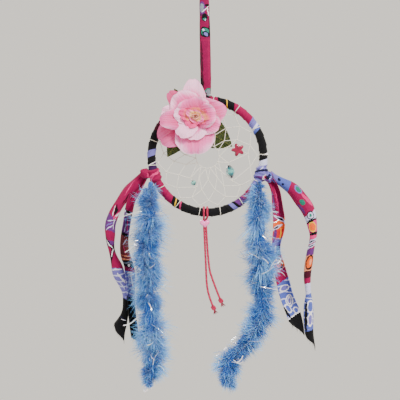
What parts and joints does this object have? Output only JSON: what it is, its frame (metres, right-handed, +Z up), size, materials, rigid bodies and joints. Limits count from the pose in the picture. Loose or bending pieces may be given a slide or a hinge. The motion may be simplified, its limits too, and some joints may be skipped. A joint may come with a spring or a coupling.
{
  "type": "dream catcher",
  "caption": "Cloth-wound hoop with a beaded thread web, silk flower, down boas, cloth tails and a corded tassel, hung from a cloth eye and strap.",
  "frame": {"origin": "centre of the hanging eye, on the nail's axis", "axes": "+Z up, +X to the right as seen from the front, the front faces -Y"},
  "size_m": [0.2148, 0.0385, 0.4222],
  "materials": {
    "print_cloth": "printed jersey, magenta with lilac, orange and black",
    "wire": "drawn wire",
    "web_cotton": "off-white waxed thread",
    "crimson_plastic": "translucent moulded",
    "teal_plastic": "faceted translucent",
    "aqua_plastic": "faceted translucent",
    "stem_plastic": "moulded",
    "petal_silk": "dyed petal cloth, pale to deep pink",
    "bud_silk": "dyed petal cloth, cream",
    "glue": "hot-melt glue",
    "leaf_silk": "pressed leaf cloth with veins",
    "boa_string": "twisted string",
    "blue_down": "loose down",
    "tinsel_film": "silver film",
    "pink_cord": "twisted satin cord",
    "heart_plastic": "pearly moulded"
  },
  "bodies": {
    "hanger": {"hanging_eye": "print_cloth", "hanger_knot": "print_cloth", "hanging_strap": "print_cloth"},
    "hoop": {"strap_hitch": "print_cloth", "hoop_core": "wire", "hoop_wrap": "print_cloth", "web_thread": "web_cotton", "web_hitches": "web_cotton", "flower_stem": "stem_plastic", "flower_calyx": "stem_plastic", "petals_outer": "petal_silk", "petals_second": "petal_silk", "petals_third": "petal_silk", "petals_fourth": "petal_silk", "petals_inner": "petal_silk", "flower_bud": "bud_silk", "flower_glue": "glue", "leaf_right": "leaf_silk", "leaf_left": "leaf_silk", "leaf_top": "leaf_silk", "left_tie": "print_cloth", "right_tie": "print_cloth", "left_knot": "print_cloth", "right_knot": "print_cloth", "left_outer_root": "print_cloth", "left_inner_root": "print_cloth", "right_inner_root": "print_cloth", "right_outer_root": "print_cloth"},
    "star": {"star_bead": "crimson_plastic"},
    "drop": {"drop_bead": "teal_plastic"},
    "small_aqua": {"small_bead": "aqua_plastic"},
    "left_outer": {"left_outer_tail": "print_cloth"},
    "left_inner": {"left_inner_tail": "print_cloth"},
    "right_inner": {"right_inner_tail": "print_cloth"},
    "right_outer": {"right_outer_tail": "print_cloth"},
    "left_boa": {"left_boa_string": "boa_string", "left_boa_down": "blue_down", "left_boa_tinsel": "tinsel_film"},
    "right_boa": {"right_boa_string": "boa_string", "right_boa_down": "blue_down", "right_boa_tinsel": "tinsel_film"},
    "tassel": {"tassel_hitch": "pink_cord", "tassel_cord_left": "pink_cord", "tassel_cord_right": "pink_cord", "tassel_knot_left": "pink_cord", "tassel_knot_right": "pink_cord"},
    "heart": {"heart_bead": "heart_plastic"}
  },
  "joints": [
    {"name": "hoop_twist", "type": "hinge", "parent": "hanger", "child": "hoop", "pos_m": [0, 0, -0.1194], "axis": [0, 0, 1], "range_deg": [-90, 90]},
    {"name": "left_outer_swing", "type": "hinge", "parent": "hoop", "child": "left_outer", "pos_m": [-0.098, 0.0028, -0.247], "axis": [0, -1, 0], "range_deg": [-15, 15]},
    {"name": "left_inner_swing", "type": "hinge", "parent": "hoop", "child": "left_inner", "pos_m": [-0.0825, 0.0078, -0.248], "axis": [0, -1, 0], "range_deg": [-12, 12]},
    {"name": "right_inner_swing", "type": "hinge", "parent": "hoop", "child": "right_inner", "pos_m": [0.072, 0.0078, -0.248], "axis": [0, -1, 0], "range_deg": [-12, 12]},
    {"name": "right_outer_swing", "type": "hinge", "parent": "hoop", "child": "right_outer", "pos_m": [0.101, 0.0028, -0.243], "axis": [0, -1, 0], "range_deg": [-15, 15]},
    {"name": "left_boa_swing", "type": "hinge", "parent": "hoop", "child": "left_boa", "pos_m": [-0.057, -0.009, -0.205], "axis": [0, -1, 0], "range_deg": [-20, 6]},
    {"name": "right_boa_swing", "type": "hinge", "parent": "hoop", "child": "right_boa", "pos_m": [0.0495, -0.009, -0.207], "axis": [0, -1, 0], "range_deg": [-4, 20]},
    {"name": "tassel_swing", "type": "hinge", "parent": "hoop", "child": "tassel", "pos_m": [-0.00295, 0, -0.2375], "axis": [1, 0, 0], "range_deg": [-60, 60]},
    {"name": "heart_slide", "type": "slide", "parent": "tassel", "child": "heart", "axis": [0.0314, 0, -0.9995], "range_m": [0, 0.03]},
    {"name": "star_spin", "type": "hinge", "parent": "hoop", "child": "star", "pos_m": [0.0305, 0, -0.1755], "axis": [0.9285, 0, -0.3714], "continuous": true},
    {"name": "drop_spin", "type": "hinge", "parent": "hoop", "child": "drop", "pos_m": [0.0225, 0, -0.197], "axis": [0.2198, 0, -0.9755], "continuous": true},
    {"name": "small_bead_spin", "type": "hinge", "parent": "hoop", "child": "small_aqua", "pos_m": [-0.0145, 0, -0.2075], "axis": [0.5505, 0, -0.8348], "continuous": true}
  ]
}
